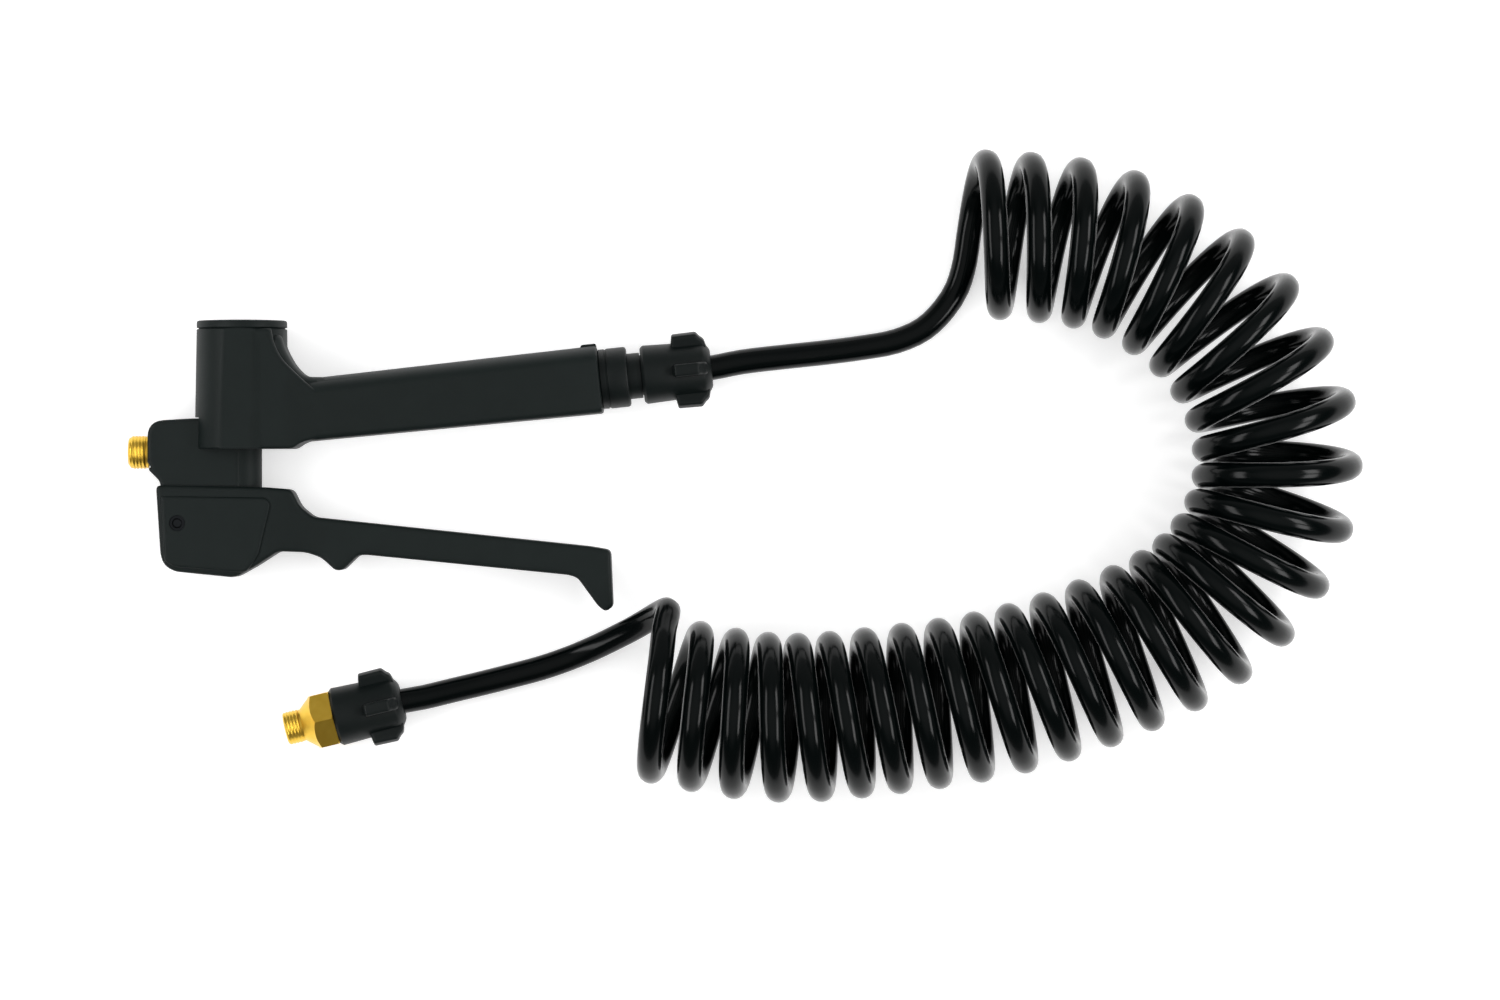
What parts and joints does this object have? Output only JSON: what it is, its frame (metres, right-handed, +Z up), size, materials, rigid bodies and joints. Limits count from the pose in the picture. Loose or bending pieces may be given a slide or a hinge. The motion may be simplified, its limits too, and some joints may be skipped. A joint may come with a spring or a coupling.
{
  "type": "squeeze-lever valve gun with spiral hose",
  "caption": "Squeeze-lever valve gun with a threaded outlet, on a black spiral recoil hose that ends in a threaded brass fitting.",
  "frame": {"origin": "centre of the outlet nipple's end face", "axes": "-X out of the outlet nipple, +X along the handle, +Y up the barrel, +Z up from the surface it lies on"},
  "size_m": [0.4899, 0.2584, 0.0674],
  "materials": {
    "body_plastic": "moulded, satin",
    "nut_plastic": "moulded, satin",
    "hose_black": "extruded, glossy",
    "brass": "turned",
    "steel": "turned",
    "seal_rubber": "moulded",
    "sleeve_plastic": "moulded"
  },
  "bodies": {
    "root": {"handle_body": "body_plastic", "barrel_cap": "body_plastic", "cap_seal": "seal_rubber", "valve_body": "body_plastic", "body_seals": "seal_rubber", "valve_seat": "brass", "stem_bush": "brass", "stem_seals": "seal_rubber", "outlet_nipple": "brass", "outlet_seal": "seal_rubber", "handle_tube": "steel", "tube_seals": "seal_rubber", "hose_connector": "nut_plastic", "gun_hose_nut": "nut_plastic", "gun_clamp_sleeve": "sleeve_plastic", "gun_hose_end": "hose_black", "pivot_pin": "steel", "pin_clips": "steel", "valve_spring": "steel", "hose_gun_tail": "hose_black", "hose_coil": "hose_black", "hose_end_tail": "hose_black", "end_hose_end": "hose_black", "end_clamp_sleeve": "sleeve_plastic", "end_hose_nut": "nut_plastic", "end_fitting": "brass"},
    "lever": {"lever": "body_plastic", "thrust_pad": "steel"},
    "stem": {"valve_stem": "steel", "poppet": "brass", "poppet_washer": "seal_rubber", "stem_nut": "steel"}
  },
  "joints": [
    {"name": "lever_pivot", "type": "hinge", "parent": "root", "child": "lever", "pos_m": [0.0202, -0.0282, 0], "axis": [0, 0, 1], "range_deg": [0, 14], "stiffness_Nm_per_rad": 2.1, "springref_deg": -10.31},
    {"name": "stem_slide", "type": "slide", "parent": "root", "child": "stem", "axis": [0, 1, 0], "range_m": [0, 0.0065], "deforming": ["valve_spring"]}
  ],
  "couplings": [
    {"joint": "stem_slide", "follows": "lever_pivot", "m_per_rad": 0.0264}
  ]
}
